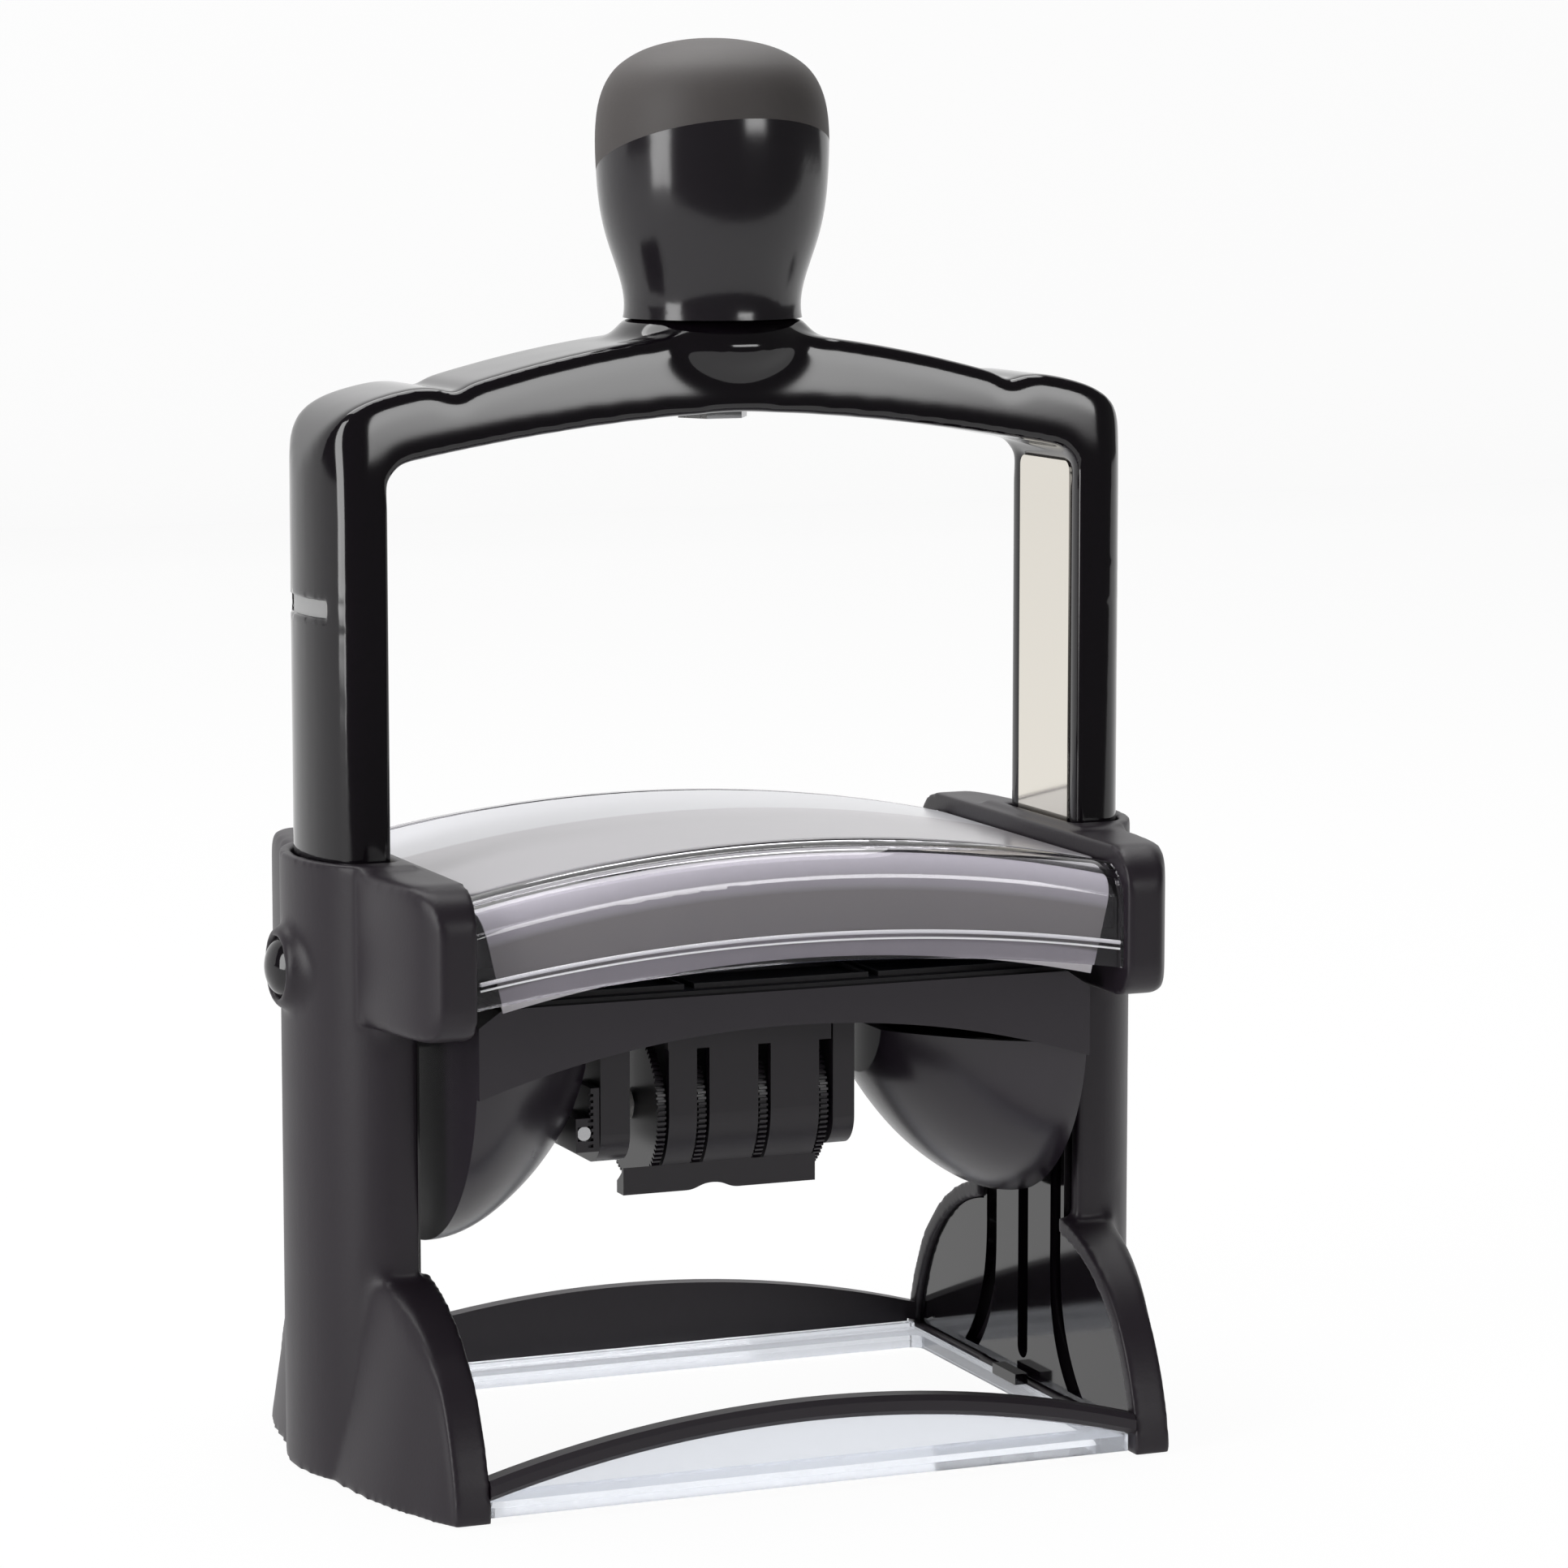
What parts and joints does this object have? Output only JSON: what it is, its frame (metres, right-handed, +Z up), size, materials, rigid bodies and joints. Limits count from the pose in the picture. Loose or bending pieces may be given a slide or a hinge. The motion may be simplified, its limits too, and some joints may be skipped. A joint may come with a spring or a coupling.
{
  "type": "rotary date stamp",
  "caption": "Self-inking date stamp: a two-column stand, a knobbed yoke that presses down, and a carrier with text plate and date bands that turns over to print",
  "frame": {"origin": "middle of the stand on the table: the bottom centre of the whole part", "axes": "+X from the left column to the right column, +Y to the back, away from the user, +Z up"},
  "size_m": [0.1328, 0.0808, 0.1978],
  "materials": {
    "shell_black": "fine spark-eroded matte ABS",
    "gloss_black": "high-gloss moulded",
    "knob_gloss": "high-gloss moulded",
    "soft_grip": "soft-touch overmould, fine grain",
    "panel_grey": "gloss light grey",
    "clear": "clear moulded acrylic",
    "card_grey": "matte printed card",
    "carrier_black": "satin to gloss moulded",
    "satin_black": "satin",
    "polished_steel": "polished strip",
    "steel": "drawn wire and bar",
    "stamp_rubber": "moulded stamp rubber",
    "pad_felt": "inked felt",
    "white_pom": "acetal"
  },
  "bodies": {
    "stand": {"frame_clips": "gloss_black", "front_bar": "shell_black", "front_window": "clear", "index_card": "card_grey", "left_column": "shell_black", "left_lining": "gloss_black", "left_return_spring": "steel", "pad_housing": "satin_black", "positioning_window": "clear", "rear_bar": "shell_black", "rear_window": "clear", "right_column": "shell_black", "right_lining": "gloss_black", "right_return_spring": "steel", "top_panel": "panel_grey"},
    "yoke": {"yoke_frame": "gloss_black", "left_leg_plate": "polished_steel", "right_leg_plate": "polished_steel", "left_lock_keeper": "white_pom", "right_lock_keeper": "white_pom", "knob_body": "knob_gloss", "knob_cap": "soft_grip", "handle_bolt": "steel"},
    "carrier": {"carrier_shell": "carrier_black", "left_pivot_pin": "steel", "right_pivot_pin": "steel", "text_plate": "stamp_rubber", "date_shell": "satin_black", "left_bracket": "satin_black", "right_bracket": "satin_black", "lip_bar": "satin_black", "nose_bar": "satin_black", "date_axle": "steel", "axle_bushing": "white_pom", "height_clip": "satin_black", "clip_pin": "steel", "day_tens_band": "stamp_rubber", "day_units_band": "stamp_rubber", "month_band": "stamp_rubber", "year_band": "stamp_rubber"},
    "cartridge": {"ink_cartridge": "satin_black", "ink_pad": "pad_felt"},
    "left_button": {"left_lock_button": "gloss_black"},
    "right_button": {"right_lock_button": "gloss_black"},
    "day_tens": {"day_tens_wheel": "satin_black"},
    "day_units": {"day_units_wheel": "satin_black"},
    "month": {"month_wheel": "satin_black"},
    "year": {"year_wheel": "satin_black"}
  },
  "joints": [
    {"name": "handle_press", "type": "slide", "parent": "stand", "child": "yoke", "axis": [0, 0, -1], "range_m": [0, 0.05], "stiffness_N_per_m": 260, "springref_m": -0.02, "deforming": ["left_return_spring", "right_return_spring"]},
    {"name": "carrier_flip", "type": "hinge", "parent": "yoke", "child": "carrier", "pos_m": [0, 0, 0.0595], "axis": [1, 0, 0], "range_deg": [0, 180]},
    {"name": "cartridge_slide", "type": "slide", "parent": "stand", "child": "cartridge", "axis": [0, 1, 0], "range_m": [0, 0.075]},
    {"name": "left_lock_press", "type": "slide", "parent": "stand", "child": "left_button", "axis": [1, 0, 0], "range_m": [0, 0.0012], "stiffness_N_per_m": 400, "springref_m": -0.001},
    {"name": "right_lock_press", "type": "slide", "parent": "stand", "child": "right_button", "axis": [-1, 0, 0], "range_m": [0, 0.0012], "stiffness_N_per_m": 400, "springref_m": -0.001},
    {"name": "day_tens_turn", "type": "hinge", "parent": "carrier", "child": "day_tens", "pos_m": [0, 0, 0.0478], "axis": [1, 0, 0], "continuous": true},
    {"name": "day_units_turn", "type": "hinge", "parent": "carrier", "child": "day_units", "pos_m": [0, 0, 0.0478], "axis": [1, 0, 0], "continuous": true},
    {"name": "month_turn", "type": "hinge", "parent": "carrier", "child": "month", "pos_m": [0, 0, 0.0478], "axis": [1, 0, 0], "continuous": true},
    {"name": "year_turn", "type": "hinge", "parent": "carrier", "child": "year", "pos_m": [0, 0, 0.0478], "axis": [1, 0, 0], "continuous": true}
  ],
  "couplings": [
    {"joint": "carrier_flip", "follows": "handle_press", "rad_per_m": 62.832}
  ]
}
